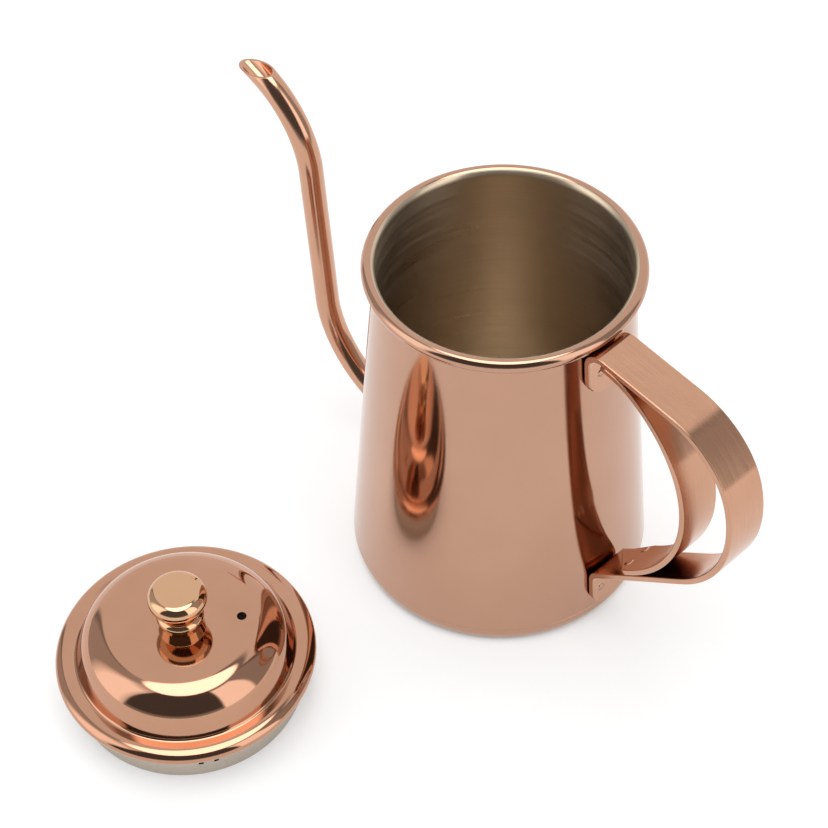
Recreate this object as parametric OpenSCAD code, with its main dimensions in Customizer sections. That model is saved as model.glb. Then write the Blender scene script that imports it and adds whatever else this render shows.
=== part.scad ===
// Gooseneck drip kettle with a two-strap handle and a loose domed lid.
// Millimetres, +Z up. The origin is the centre of the base, on the surface it stands on.
// The handle points to +X and the spout to -X.

/* [Body] */
// Outer diameter over the rolled rim
rim_d = 84; // [70:1:110]
// Height to the top of the rolled rim
body_h = 124.7; // [100:0.1:160]
// Diameter of the base, where the leaning wall would meet the table
base_d = 97.3; // [88:0.1:120]
// Thickness of the steel sheet
sheet_t = 0.6; // [0.5:0.1:0.8]
// Radius of the rolled rim's bead
bead_r = 2.1; // [1.8:0.1:3]
// How far the sheet turns round in the bead, in degrees
bead_turn = 310; // [270:5:320]
// Outer radius of the corner under the wall
corner_r = 5; // [3:0.5:7]
// Height of the seam between the base pan and the wall
seam_h = 6.5; // [6:0.5:10]
// Radius of the base pan's raised centre
pan_centre_r = 34; // [24:1:36]
// How far the base pan's centre stands off the table
pan_raise = 1.5; // [0.5:0.1:2.5]
// Bend radius of the step round the raised centre
pan_bend_r = 1.5; // [1.3:0.1:2]

/* [Spout] */
// Outer diameter of the spout tube
spout_d = 8; // [6:0.5:10]
// Wall of the spout tube
spout_wall = 0.8; // [0.5:0.1:1]
// Height at which the spout's centreline meets the wall
spout_root_z = 14.8; // [12:0.1:25]
// Rise of the spout's foot above the horizontal, in degrees
spout_root_rise = 17; // [5:1:35]
// Straight run of the foot, from the wall to the first bend
spout_foot_l = 13.2; // [8:0.1:20]
// Centreline radius of the lower bend
spout_low_bend_r = 32.4; // [20:0.1:45]
// Rise of the long straight neck, in degrees
spout_neck_rise = 85.9; // [75:0.1:90]
// Length of the straight neck
spout_neck_l = 54.9; // [30:0.1:80]
// Centreline radius of the upper bend
spout_top_bend_r = 30.9; // [20:0.1:45]
// Rise of the last straight run, in degrees
spout_tip_rise = 20; // [0:1:40]
// Length of the last straight run, to the middle of the cut
spout_tip_l = 3.5; // [2:0.1:15]
// Fall of the tip's cut face below the horizontal, in degrees
tip_cut_fall = 10; // [0:1:20]

/* [Handle] */
// Width of both straps
strap_w = 14; // [10:0.5:18]
// Thickness of both straps
strap_t = 2; // [1.5:0.1:2.5]
// Gap between the rolled rim and the strap's upper bend
rim_gap = 0.5; // [0.3:0.1:2]
// Height of the centre of the lower tab's round end
low_tab_z = 15.3; // [12:0.1:25]
// Straight length of each tab, from its bend to its round end
tab_l = 6; // [4:0.1:10]
// Bend radius in the middle of the strap, at both tabs
tab_bend_r = 5; // [4:0.5:8]
// Fall of the top leg, in degrees
top_leg_fall = 5.2; // [0:0.1:10]
// Straight length of the top leg
top_leg_l = 24.9; // [20:0.1:35]
// Slope at which the outer strap passes from its upper sweep to its lower one, in degrees
mid_slope = 73.5; // [60:0.5:85]
// Slope of the return leg back to the wall, in degrees past the horizontal
return_slope = 138.6; // [130:0.1:145]
// How many times wider the outer strap's lower sweep is than its upper one
sweep_ratio = 1.53; // [1.2:0.01:1.8]
// Straight stretch of the top leg's underside that the inner strap lies on
inner_lap_l = 2.4; // [1.5:0.1:6]
// Where that stretch ends, from the start of the straight top leg
inner_leave_l = 2.2; // [0:0.1:8]
// Radius in the middle of the inner strap's upper bend
inner_top_r = 25.2; // [20:0.1:30]
// Slope of the inner strap at the end of its upper bend, in degrees
inner_top_slope = 29.6; // [20:0.1:40]
// Slope of the inner strap at the end of its middle bend, in degrees
inner_mid_slope = 99.6; // [90:0.1:105]
// Radius in the middle of the inner strap's lower bend
inner_low_r = 52.3; // [40:0.1:60]
// Free length of the return leg below the tip of the inner strap's tongue
inner_end_gap = 3.2; // [2:0.1:8]
// Skew of the cut across the inner strap's lower end, in degrees
inner_end_skew = 47.8; // [30:0.1:50]
// Width of the tongue at that end
tongue_w = 11.5; // [8:0.1:13]
// Straight length of the tongue's far side
tongue_side_l = 5.3; // [2:0.1:6]
// Length over which the tongue's far side widens to the full strap
tongue_flare_l = 9.3; // [4:0.1:10]

/* [Lid] */
// Clearance between the lid's skirt and the mouth, on each side
lid_fit = 1.7; // [0.8:0.1:3]
// How far the skirt reaches below the brim
skirt_drop = 14.1; // [10:0.1:18]
// Thickness of the skirt's sheet
skirt_t = 0.7; // [0.5:0.1:1]
// How far the skirt's flange turns in under the cover
skirt_flange = 3.6; // [3:0.1:6]
// How far the brim's edge stays inside the rim's edge
brim_inset = 1.4; // [0.5:0.1:3]
// Radius of the brim's rolled edge
brim_roll_r = 1; // [0.9:0.05:1.5]
// Slope of the channel between the brim and the dome, in degrees
brim_slope = 18; // [10:1:25]
// Radius of the dome at its foot
dome_r = 32.6; // [28:0.1:34]
// Radius of the crease at the dome's foot
dome_crease_r = 1.2; // [0.8:0.1:2]
// Height of the dome's upright side
dome_side_h = 1.5; // [0.5:0.1:3]
// Radius of the dome's shoulder
shoulder_r = 8; // [6:0.5:10]
// Height of the dome's crown above the brim
crown_rise = 14.2; // [12:0.1:20]
// Diameter of the steam vent
vent_d = 3; // [2:0.1:4]
// Distance of the steam vent from the lid's axis
vent_pos_r = 18.8; // [12:0.1:22]
// Direction of the steam vent, in degrees from +X
vent_angle = 59; // [0:1:359]
// Width of each slot in the skirt
slot_w = 1.5; // [1:0.1:3]
// Height of each slot in the skirt
slot_h = 1.1; // [0.8:0.1:2]
// Height of the slots above the skirt's lower edge
slot_z = 6; // [3:0.1:9]
// Directions of the two slots, in degrees from +X
slot_angles = [-33.2, -25.7]; // [-180:0.1:180]
// Free space between the kettle's base and the lid lying beside it
park_gap = 26.5; // [10:0.5:60]
// Direction in which the lid lies, in degrees from +X
park_angle = -102; // [-180:1:180]

/* [Knob] */
// Diameter of the knob's flattened ball
ball_d = 18.2; // [14:0.1:24]
// Height of the ball's widest line above the dome
ball_z = 11.5; // [9:0.1:14]
// How far the ball rises above its widest line
ball_top = 6.9; // [6:0.1:8]
// How far the ball falls below its widest line
ball_drop = 5.1; // [4.6:0.1:6]
// Radius of the ball's round edge
ball_edge_r = 4.4; // [3:0.1:4.5]
// Diameter of the neck
neck_d = 9; // [7:0.1:12]
// Diameter of the collar
collar_d = 14.6; // [12:0.1:18]
// Height of the collar above the dome
collar_h = 5.2; // [4:0.1:6]
// Radius of the collar's round edge
collar_edge_r = 1.9; // [1:0.1:2.5]
// Diameter of the knob's foot
foot_d = 12.6; // [10:0.1:14]
// Diameter of the knob's screw
screw_d = 4; // [3:0.5:5]
// Length of the screw's thread inside the knob
screw_grip = 8; // [5:0.5:10]
// Diameter of the screw's head
screw_head_d = 7; // [6:0.1:9]
// Height of the screw's head
screw_head_h = 2.4; // [1.6:0.1:3]
// Diameter of the washer under the screw's head
washer_d = 10; // [9:0.5:12]
// Thickness of the washer
washer_t = 0.8; // [0.5:0.1:1.2]

/* [Hidden] */

$fn = 96;
// Clearance between pieces that are brazed or spot-welded to each other
weld_gap = 0.05;
// Clearance round the screw where it passes through sheet
screw_gap = 0.2;
// Length that a cutting tool runs past what it cuts
overrun = 1;
// Farthest that a bend's flats may stray from the true round
chord_error = 0.01;
// Length by which a straight bar runs into the bends at its ends, and how much thinner it is than they are
bar_lap = 0.3;
bar_step = 0.03;
// Width and depth of the slot in the screw's head
driver_slot = [1, 1.2];

base_r = base_d / 2;
rim_r = rim_d / 2;
bead_centre_r = rim_r - bead_r;
bead_z = body_h - bead_r;
mouth_r = bead_centre_r - bead_r;
bead_inner_r = bead_r - sheet_t;
bead_reach = norm([base_r - bead_centre_r, bead_z]);
wall_lean = atan((base_r - bead_centre_r) / bead_z) + asin(bead_inner_r / bead_reach);
bead_u = sqrt(bead_reach * bead_reach - bead_inner_r * bead_inner_r);

corner_centre_r = base_r - corner_r / tan(45 - wall_lean / 2);
corner_u = corner_r / tan(45 - wall_lean / 2);
seam_u = seam_h / cos(wall_lean);
pan_step = acos(1 - pan_raise / (2 * pan_bend_r));
pan_step_l = 2 * pan_bend_r * sin(pan_step);
pan_foot_l = corner_centre_r - pan_centre_r - pan_step_l;

spout_root_r = base_r - spout_root_z * tan(wall_lean);
spout_inside_l = base_r / 3;
tip_cut_angle = spout_tip_rise + tip_cut_fall;
tip_uncut_l = spout_d / 2 / tan(tip_cut_angle) + overrun;
tip_cutter = 2 * spout_d / sin(tip_cut_angle);

// Headings of the straps, in degrees clockwise from straight up the wall
top_heading = 90 + wall_lean + top_leg_fall;
mid_heading = 90 + wall_lean + mid_slope;
return_heading = 90 + wall_lean + return_slope;
inner_top_heading = 90 + wall_lean + inner_top_slope;
inner_mid_heading = 90 + wall_lean + inner_mid_slope;

// Along the wall: where the tabs' round ends and bends lie
tab_mid_v = weld_gap + strap_t / 2;
upper_bend_v = tab_mid_v + tab_bend_r;
upper_bend_reach = tab_bend_r + strap_t / 2 + bead_r + rim_gap;
upper_bend_u = bead_u - sqrt(pow(upper_bend_reach, 2) - pow(upper_bend_v - bead_inner_r, 2));
upper_tab_u = upper_bend_u - tab_l;
low_tab_u = low_tab_z / cos(wall_lean);
low_bend_u = low_tab_u + tab_l;

// Rise along the wall and reach away from it of a clockwise bend of radius 1
function bend_rise(from, to) = sin(to) - sin(from);
function bend_reach(from, to) = cos(from) - cos(to);

// The two sweeps and the return leg close the outer strap on the wall
sweep_rise = bend_rise(top_heading, mid_heading) + sweep_ratio * bend_rise(mid_heading, return_heading);
sweep_reach = bend_reach(top_heading, mid_heading) + sweep_ratio * bend_reach(mid_heading, return_heading);
need_rise = low_bend_u - upper_bend_u - top_leg_l * cos(top_heading)
    - tab_bend_r * (sin(top_heading) + sin(return_heading));
need_reach = -top_leg_l * sin(top_heading)
    - tab_bend_r * (1 - cos(top_heading)) + tab_bend_r * (1 + cos(return_heading));
closure = sweep_rise * sin(return_heading) - sweep_reach * cos(return_heading);
sweep_top_r = (need_rise * sin(return_heading) - need_reach * cos(return_heading)) / closure;
sweep_low_r = sweep_top_r * sweep_ratio;
return_leg_l = (sweep_rise * need_reach - sweep_reach * need_rise) / closure;

// How far a clockwise bend of radius 1 carries the strap inward, measured square to the return leg
function bend_inward(from, to) = cos(return_heading - from) - cos(return_heading - to);

// The inner strap's middle bend lays its foot flat on the return leg
lap_offset = strap_t + weld_gap;
outer_inward = sweep_top_r * bend_inward(top_heading, mid_heading)
    + sweep_low_r * bend_inward(mid_heading, return_heading)
    - top_leg_l * sin(return_heading - top_heading);
inner_inward = inner_top_r * bend_inward(top_heading, inner_top_heading)
    + inner_low_r * bend_inward(inner_mid_heading, return_heading)
    - inner_leave_l * sin(return_heading - top_heading)
    + lap_offset * cos(return_heading - top_heading);
inner_mid_r = (outer_inward + lap_offset - inner_inward)
    / bend_inward(inner_top_heading, inner_mid_heading);

// The outer strap's run from the end of its upper tab to the end of the return leg
tab_end_l = tab_l + strap_w / 2;
outer_start = on_wall(upper_bend_u - tab_end_l, tab_mid_v);
outer_steps = [
    [0, tab_end_l],
    [tab_bend_r, top_heading],
    [0, top_leg_l],
    [sweep_top_r, mid_heading - top_heading],
    [sweep_low_r, return_heading - mid_heading],
    [0, return_leg_l]
];
leg_end = run_end(outer_steps, outer_start);

// The inner strap's run from its upper end to the start of its foot, and the foot's length
inner_lead = [[tab_bend_r, top_heading], [0, inner_leave_l - inner_lap_l]];
inner_lead_end = run_end(inner_lead, on_wall(upper_bend_u, tab_mid_v));
inner_start = concat(beside(inner_lead_end, -lap_offset), [inner_lead_end[2]]);
inner_steps = [
    [0, inner_lap_l],
    [inner_top_r, inner_top_heading - top_heading],
    [inner_mid_r, inner_mid_heading - inner_top_heading],
    [inner_low_r, return_heading - inner_mid_heading]
];
foot_start = run_end(inner_steps, inner_start);
inner_foot_l = (leg_end[0] - foot_start[0]) * sin(leg_end[2]) + (leg_end[1] - foot_start[1]) * cos(leg_end[2])
    - inner_end_gap;

// Radius of the crown that is tangent to an edge circle: span inward to where the crown is level,
// rise from the edge circle's centre to the crown, and the edge circle's radius
function crown_radius(span, rise, edge) = (span * span + rise * rise - edge * edge) / (2 * (rise - edge));

skirt_r = mouth_r - lid_fit;
brim_r = rim_r - brim_inset;
brim_roll_z = skirt_drop + brim_roll_r;
brim_roll_centre_r = brim_r - brim_roll_r;
crown_z = brim_roll_z + brim_roll_r + crown_rise;
crown_seat_r = foot_d / 2 + overrun / 2;
crease_centre_r = dome_r + dome_crease_r;
channel_span = crease_centre_r - brim_roll_centre_r;
crease_z = brim_roll_z
    + (dome_crease_r + brim_roll_r + channel_span * sin(brim_slope)) / cos(brim_slope);
channel_l = -channel_span * cos(brim_slope)
    + (brim_roll_z - crease_z) * sin(brim_slope);
shoulder_z = crease_z + dome_side_h;
shoulder_span = dome_r - shoulder_r - crown_seat_r;
crown_r = crown_radius(shoulder_span, crown_z - shoulder_z, shoulder_r);
crown_turn = atan(shoulder_span / (shoulder_z - crown_z + crown_r));
skirt_top_z = crease_z - dome_crease_r - sheet_t - weld_gap;
skirt_bend_r = skirt_t;
brim_turn = 250;

park_r = base_r + park_gap + brim_r;

ball_r = ball_d / 2;
ball_span = ball_r - ball_edge_r;
ball_top_r = crown_radius(ball_span, ball_top, ball_edge_r);
ball_low_r = crown_radius(ball_span, ball_drop, ball_edge_r);
ball_top_angle = atan((ball_top_r - ball_top) / ball_span);
ball_low_angle = atan((ball_low_r - ball_drop) / ball_span);

steel = "silver";
copper = "peru";
gold = "burlywood";

// A run is a list of steps: [0, length] goes straight and [radius, turn] bends, clockwise if positive.
// A state along it is [x, y, heading], with the heading in degrees clockwise from +Y.
function moved(at, step, part) =
    let (h = at[2], r = step[0] * sign(step[1]), amount = part * step[1])
    r == 0
        ? [at[0] + amount * sin(h), at[1] + amount * cos(h), h]
        : [at[0] + r * (cos(h) - cos(h + amount)), at[1] + r * (sin(h + amount) - sin(h)), h + amount];

// The state at the end of a run
function run_end(steps, at, i = 0) = i == len(steps) ? at : run_end(steps, moved(at, steps[i], 1), i + 1);

// How many flats a step is drawn with
function flats(step) =
    step[0] == 0 ? 1 : ceil(abs(step[1]) / (2 * acos(1 - chord_error / step[0])));

// The states along a whole run
function run_states(steps, at, i = 0) =
    i == len(steps)
        ? [at]
        : concat(
            [for (k = [0 : flats(steps[i]) - 1]) moved(at, steps[i], k / flats(steps[i]))],
            run_states(steps, moved(at, steps[i], 1), i + 1)
        );

// A state's point, moved out to the left of the heading
function beside(at, left = 0) = [at[0] - left * cos(at[2]), at[1] + left * sin(at[2])];

// The section of a bent sheet whose middle follows a run
module sheet_section(steps, t, from) {
    states = run_states(steps, from);
    polygon(concat(
        [for (at = states) beside(at, t / 2)],
        [for (k = [len(states) - 1 : -1 : 0]) beside(states[k], -t / 2)]
    ));
}

// A state on the wall's section: u up the wall, v out from it, and a heading from straight up the wall
function on_wall(u, v, turn = 0) = [
    base_r - u * sin(wall_lean) + v * cos(wall_lean),
    u * cos(wall_lean) + v * sin(wall_lean),
    turn - wall_lean
];

// Moves on past one step of a run that lies in the XZ plane, starting along +Z and turning towards +X
module past_step(step) {
    side = sign(step[1]);
    if (step[0] == 0) {
        translate([0, 0, step[1]]) children();
    } else {
        translate([side * step[0], 0, 0])
            rotate([0, step[1], 0])
                translate([-side * step[0], 0, 0])
                    children();
    }
}

// Moves on to the end of such a run
module past_run(steps, i = 0) {
    if (i < len(steps)) {
        past_step(steps[i]) past_run(steps, i + 1) children();
    } else {
        children();
    }
}

// A bent round bar along such a run
module round_run(steps, radius, i = 0) {
    if (i < len(steps)) {
        bend_r = steps[i][0];
        amount = steps[i][1];
        side = sign(amount);
        if (bend_r == 0) {
            translate([0, 0, -bar_lap]) cylinder(r = radius - bar_step, h = amount + 2 * bar_lap);
        } else {
            translate([side * bend_r, 0, 0])
                rotate([90, 0, side > 0 ? 180 : 0])
                    rotate_extrude(angle = abs(amount)) translate([bend_r, 0]) circle(radius, $fn = 48);
        }
        past_step(steps[i]) round_run(steps, radius, i + 1);
    }
}

// Places a solid on the wall under the handle: +Z up the wall, +X away from it
module wall_frame() {
    translate([base_r, 0, 0]) rotate([0, -wall_lean, 0]) children();
}

// A strap of the handle, whose middle follows a run in the XZ plane
module strap(steps, from) {
    rotate([90, 0, 0]) linear_extrude(strap_w, center = true) sheet_section(steps, strap_t, from);
}

// What rounds off a tab's lower end, round a centre at a given height up the wall
module tab_end_cutter(u) {
    wall_frame()
        translate([0, 0, u])
            difference() {
                translate([-strap_t, -strap_w, -strap_w]) cube([3 * strap_t, 2 * strap_w, strap_w]);
                translate([-strap_w, 0, 0]) rotate([0, 90, 0]) cylinder(d = strap_w, h = 2 * strap_w);
            }
}

// Places the lid's pieces where the lid lies, beside the kettle
module on_lid() {
    translate(park_r * [cos(park_angle), sin(park_angle), 0]) children();
}

// The space inside the wall's inner face
module inside_space() {
    low = beside(on_wall(sheet_t, -sheet_t));
    high = beside(on_wall(bead_u, -sheet_t));
    rotate_extrude() polygon([[0, low[1]], low, high, [0, high[1]]]);
}

// Places a round run on the spout's centreline, starting inside the kettle
module on_spout() {
    translate([-spout_root_r, 0, spout_root_z])
        rotate([0, spout_root_rise - 90, 0])
            translate([0, 0, -spout_inside_l])
                children();
}

// The spout's centreline up to the middle of the tip's cut face, and with the length that the cut takes off
spout_steps = [
    [0, spout_inside_l + spout_foot_l],
    [spout_low_bend_r, spout_neck_rise - spout_root_rise],
    [0, spout_neck_l],
    [spout_top_bend_r, spout_tip_rise - spout_neck_rise],
    [0, spout_tip_l]
];
spout_uncut_steps = concat(spout_steps, [[0, tip_uncut_l]]);

module body_shell() {
    run = [[0, bead_u - seam_u], [bead_r - sheet_t / 2, bead_turn]];
    color(copper)
        difference() {
            rotate_extrude() sheet_section(run, sheet_t, on_wall(seam_u, -sheet_t / 2));
            on_spout()
                cylinder(r = spout_d / 2 + weld_gap, h = spout_inside_l + spout_foot_l);
        }
}

module base_pan() {
    run = [
        [0, pan_centre_r],
        [pan_bend_r, pan_step],
        [pan_bend_r, -pan_step],
        [0, pan_foot_l],
        [corner_r - sheet_t / 2, -90 - wall_lean],
        [0, seam_u - corner_u]
    ];
    color(copper) rotate_extrude() sheet_section(run, sheet_t, [0, pan_raise + sheet_t / 2, 90]);
}

module spout_tube() {
    color(copper)
        difference() {
            on_spout() round_run(spout_uncut_steps, spout_d / 2);
            on_spout() round_run(spout_uncut_steps, spout_d / 2 - spout_wall);
            on_spout()
                past_run(spout_steps)
                    rotate([0, -tip_cut_angle, 0])
                        translate([0, -tip_cutter / 2, -tip_cutter / 2])
                            cube(tip_cutter);
            inside_space();
        }
}

module handle_outer_strap() {
    run = concat(outer_steps, [[tab_bend_r, 180 - return_heading], [0, tab_end_l]]);
    color(copper)
        difference() {
            strap(run, outer_start);
            tab_end_cutter(upper_tab_u);
            tab_end_cutter(low_tab_u);
        }
}

// The inner strap ends in a skew tongue, which is cut from its full width
module handle_inner_strap() {
    tip_y = tongue_w - strap_w / 2;
    flare_l = tongue_side_l + tongue_flare_l;
    foot_end = moved(foot_start, [0, inner_foot_l], 1);
    color(copper)
        difference() {
            strap(concat(inner_steps, [[0, inner_foot_l + overrun]]), inner_start);
            translate([foot_end[0], 0, foot_end[1]])
                rotate([0, foot_end[2], 0])
                    rotate([90, 0, 90])
                        linear_extrude(2 * strap_t, center = true)
                            polygon([
                                [-strap_w, -(strap_w + tip_y) * tan(inner_end_skew)],
                                [tip_y, 0],
                                [tip_y, -tongue_side_l],
                                [strap_w / 2, -flare_l],
                                [strap_w, -flare_l],
                                [strap_w, 2 * overrun],
                                [-strap_w, 2 * overrun]
                            ]);
        }
}

module lid_cover() {
    run = [
        [0, crown_seat_r],
        [crown_r - sheet_t / 2, crown_turn],
        [shoulder_r - sheet_t / 2, 90 - crown_turn],
        [0, dome_side_h],
        [dome_crease_r + sheet_t / 2, -90 - brim_slope],
        [0, channel_l],
        [brim_roll_r - sheet_t / 2, brim_turn]
    ];
    color(copper)
        on_lid()
            difference() {
                rotate_extrude() sheet_section(run, sheet_t, [0, crown_z - sheet_t / 2, 90]);
                translate([0, 0, crown_z - sheet_t - overrun])
                    cylinder(d = screw_d + 2 * screw_gap, h = sheet_t + 2 * overrun);
                rotate(vent_angle)
                    translate([vent_pos_r, 0, shoulder_z])
                        cylinder(d = vent_d, h = crown_rise);
            }
}

module lid_skirt() {
    run = [
        [0, skirt_top_z - skirt_bend_r - skirt_t / 2],
        [skirt_bend_r, -90],
        [0, skirt_flange - skirt_bend_r - skirt_t / 2]
    ];
    color(steel)
        on_lid()
            difference() {
                rotate_extrude() sheet_section(run, skirt_t, [skirt_r - skirt_t / 2, 0, 0]);
                for (angle = slot_angles)
                    rotate(angle)
                        translate([skirt_r - skirt_t - overrun, -slot_w / 2, slot_z - slot_h / 2])
                            cube([skirt_t + 2 * overrun, slot_w, slot_h]);
            }
}

// The knob is turned: a flattened ball of two crowns and a round edge, a neck and a flared collar
module lid_knob() {
    neck_r = neck_d / 2;
    screw_r = screw_d / 2;
    hole_l = screw_grip + overrun;
    ball_run = [
        [ball_top_r, 90 - ball_top_angle],
        [ball_edge_r, ball_top_angle + ball_low_angle],
        [ball_low_r, 90 - ball_low_angle - asin(neck_r / ball_low_r)]
    ];
    collar_run = [[0, collar_d / 2 - collar_edge_r - neck_r], [collar_edge_r, 90]];
    color(gold)
        on_lid()
            translate([0, 0, crown_z])
                rotate_extrude()
                    polygon(concat(
                        [for (at = run_states(ball_run, [0, ball_z + ball_top, 90])) beside(at)],
                        [for (at = run_states(collar_run, [neck_r, collar_h, 90])) beside(at)],
                        [[foot_d / 2, 0], [screw_r, 0], [screw_r, hole_l], [0, hole_l]]
                    ));
}

module knob_screw() {
    head_top_z = crown_z - sheet_t - washer_t - weld_gap;
    shank_r = screw_d / 2 - weld_gap;
    color(steel)
        on_lid()
            difference() {
                union() {
                    translate([0, 0, head_top_z - screw_head_h])
                        cylinder(d = screw_head_d, h = screw_head_h);
                    translate([0, 0, head_top_z])
                        cylinder(r = shank_r, h = crown_z + screw_grip - head_top_z);
                }
                translate([
                    -screw_head_d, -driver_slot[0] / 2, head_top_z - screw_head_h - overrun
                ])
                    cube([2 * screw_head_d, driver_slot[0], driver_slot[1] + overrun]);
            }
}

module knob_washer() {
    color(steel)
        on_lid()
            translate([0, 0, crown_z - sheet_t - washer_t])
                difference() {
                    cylinder(d = washer_d, h = washer_t);
                    translate([0, 0, -overrun])
                        cylinder(d = screw_d + 2 * screw_gap, h = washer_t + 2 * overrun);
                }
}

body_shell();
base_pan();
spout_tube();
handle_outer_strap();
handle_inner_strap();
lid_cover();
lid_skirt();
lid_knob();
knob_screw();
knob_washer();
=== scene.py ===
"""Looks of the gooseneck drip kettle: fine lathe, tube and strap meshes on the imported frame.

Sizes are in millimetres in this script and metres in Blender. Angles are in degrees, except those
round a lathe piece and phi, the one round the spout's tube, which are in radians.
"""

import math

import bmesh
import bpy
import numpy as np
from mathutils import Matrix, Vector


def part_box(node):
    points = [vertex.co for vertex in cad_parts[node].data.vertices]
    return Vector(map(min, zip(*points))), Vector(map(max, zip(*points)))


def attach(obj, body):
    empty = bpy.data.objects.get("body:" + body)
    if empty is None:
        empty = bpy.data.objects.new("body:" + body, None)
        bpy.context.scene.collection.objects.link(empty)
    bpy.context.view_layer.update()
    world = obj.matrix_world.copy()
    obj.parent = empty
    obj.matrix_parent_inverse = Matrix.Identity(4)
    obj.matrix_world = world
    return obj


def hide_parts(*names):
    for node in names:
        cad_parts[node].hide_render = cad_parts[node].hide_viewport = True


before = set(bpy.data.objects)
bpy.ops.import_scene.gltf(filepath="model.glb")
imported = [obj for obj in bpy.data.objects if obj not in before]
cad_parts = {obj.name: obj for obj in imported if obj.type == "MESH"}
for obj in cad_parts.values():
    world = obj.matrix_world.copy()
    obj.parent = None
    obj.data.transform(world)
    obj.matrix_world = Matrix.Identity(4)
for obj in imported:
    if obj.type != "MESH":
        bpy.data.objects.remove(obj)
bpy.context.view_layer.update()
MM = 0.001
TINY = 1e-6


def sind(a):
    return math.sin(math.radians(a))


def cosd(a):
    return math.cos(math.radians(a))


def tand(a):
    return math.tan(math.radians(a))


def rotation(angle, axis):
    return Matrix.Rotation(math.radians(angle), 4, axis)


# -------------------------------------------------------- sizes, as in the CAD source
BASE_R, RIM_R, BODY_H, SHEET = 48.65, 42.0, 124.7, 0.6
BEAD_R, BEAD_TURN, CORNER_R, SEAM_H = 2.1, 310.0, 5.0, 6.5
PAN_CENTRE_R, PAN_RAISE, PAN_BEND_R = 34.0, 1.5, 1.5
SPOUT_R, SPOUT_BORE_R, SPOUT_ROOT_Z = 4.0, 3.2, 14.8
SPOUT_RUN = [(0, 13.2), (32.4, -68.9), (0, 54.9), (30.9, 65.9), (0, 3.5)]
SPOUT_ROOT_RISE, TIP_CUT_FALL = 17.0, 10.0
STRAP_W, STRAP_T, WELD_GAP, RIM_GAP = 14.0, 2.0, 0.05, 0.5
LOW_TAB_Z, TAB_L, TAB_BEND_R = 15.3, 6.0, 5.0
TOP_FALL, TOP_LEG_L, MID_SLOPE, RETURN_SLOPE, SWEEP_RATIO = 5.2, 24.9, 73.5, 138.6, 1.53
INNER_LAP_L, INNER_LEAVE_L, INNER_TOP_R, INNER_TOP_SLOPE = 2.4, 2.2, 25.2, 29.6
INNER_MID_SLOPE, INNER_LOW_R, INNER_END_GAP, INNER_END_SKEW = 99.6, 52.3, 3.2, 47.8
TONGUE_W, TONGUE_SIDE_L, TONGUE_FLARE_L = 11.5, 5.3, 9.3
LID_FIT, SKIRT_DROP, SKIRT_T, SKIRT_FLANGE = 1.7, 14.1, 0.7, 3.6
BRIM_INSET, BRIM_ROLL_R, CROWN_RISE, SEAT_LAP = 1.4, 1.0, 14.2, 0.5
SLOT_W, SLOT_H, SLOT_Z, SLOT_ANGLES = 1.5, 1.1, 6.0, (-33.2, -25.7)
NECK_R, COLLAR_R, COLLAR_H, COLLAR_EDGE_R, FOOT_R = 4.5, 7.3, 5.2, 1.9, 6.3
SCREW_R, SCREW_GRIP, SCREW_GAP = 2.0, 8.0, 0.2

# -------------------------------------------------------- sizes that differ from the CAD's
# The dome, the brim's roll, the vent and the knob's ball are redrawn closer to the photograph,
# inside the CAD cover's outer radius and the CAD lid's height.
DOME_R, DOME_CREASE_R = 33.8, 1.0
CROWN_R, SHOULDER_R, DOME_END = 250.0, 11.4, 70.0
BRIM_RISE, BRIM_CREST_Z, BRIM_ARCS = 7.0, 16.6, ((4.6, 31.0), (2.15, 265.0))
VENT_R, VENT_POS_R, VENT_ANGLE = 1.5, 18.5, 52.5
BALL_R, BALL_Z, BALL_TOP, BALL_DROP, BALL_EDGE_R = 9.1, 12.3, 3.5, 6.0, 3.2

# -------------------------------------------------------- sizes that the CAD leaves out
# The spot welds are marks in the straps' finish: how far in from the end, radius, places across.
OUTER_WELD_IN, OUTER_WELD_R, OUTER_WELDS_Y = 8.0, 1.6, (-2.0, -3.4)
INNER_WELD_IN, INNER_WELD_R, INNER_WELDS_Y = 3.4, 1.7, (-2.8, 4.4)
# The tip of the inner strap's tongue is a small round nose: (back from the end, in from the side).
NOSE_NEAR, NOSE_FAR = ((0.55, 0.5), (0.2, 0.25)), ((0.6, 0.0), (0.25, 0.08))

SHEET_EDGE_R, PAN_EDGE_R, STRAP_EDGE_R, LIP_DROP = 0.12, 0.05, 0.35, 0.12  # rounded edges

# -------------------------------------------------------- fineness, cutters and UVs
SPOUT_SEGS, SPOUT_RINGS, ROOT_RINGS, TIP_RINGS = 64, 110, 4, 12
TIP_SEARCH, WALL_SEARCH = 14, (-12, 6)  # lengths between which the tube meets its cut and the wall
CUT_L, SLOT_DEPTH = 24, 4  # long enough to go through the sheet
TURN_UV_W = 300  # UV width of one turn of a lathe piece
FACE_UV_GAP = 40  # UV distance between a strap's two faces

# -------------------------------------------------------- derived, as in the CAD source
bead_centre_r, bead_z = RIM_R - BEAD_R, BODY_H - BEAD_R
bead_in = BEAD_R - SHEET
reach = math.hypot(BASE_R - bead_centre_r, bead_z)
lean = math.degrees(math.atan((BASE_R - bead_centre_r) / bead_z) + math.asin(bead_in / reach))
bead_u = math.sqrt(reach * reach - bead_in * bead_in)
corner_u = CORNER_R / tand(45 - lean / 2)
seam_u = SEAM_H / cosd(lean)
pan_step = math.degrees(math.acos(1 - PAN_RAISE / (2 * PAN_BEND_R)))
pan_foot_l = BASE_R - corner_u - PAN_CENTRE_R - 2 * PAN_BEND_R * sind(pan_step)


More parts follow.
